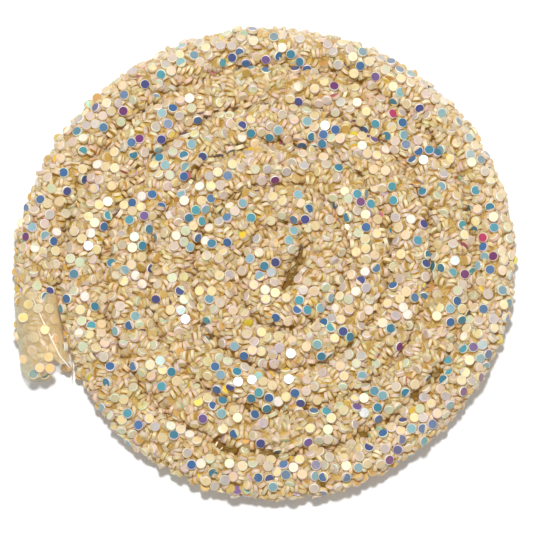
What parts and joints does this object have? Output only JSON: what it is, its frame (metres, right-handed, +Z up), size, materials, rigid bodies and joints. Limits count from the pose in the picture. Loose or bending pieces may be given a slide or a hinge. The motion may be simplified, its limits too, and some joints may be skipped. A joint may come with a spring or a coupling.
{
  "type": "glitter cord",
  "caption": "Soft round cord covered in small flat pearly discs, wound flat into a single-layer spiral coil, with clear film round its free end.",
  "frame": {"origin": "middle of the coil's underside, on the surface it rests on", "axes": "+Z up, square to the coil; +X towards the coil's east side, away from the free end; +Y towards its north side"},
  "size_m": [0.1056, 0.1008, 0.0094],
  "materials": {
    "disc_cover": "small flat cream discs with a pearly coat that shows white, gold, teal, blue and purple",
    "clear_film": "thin clear film, slightly creased"
  },
  "bodies": {
    "root": {"glitter_cord": "disc_cover", "end_film": "clear_film"}
  },
  "joints": []
}
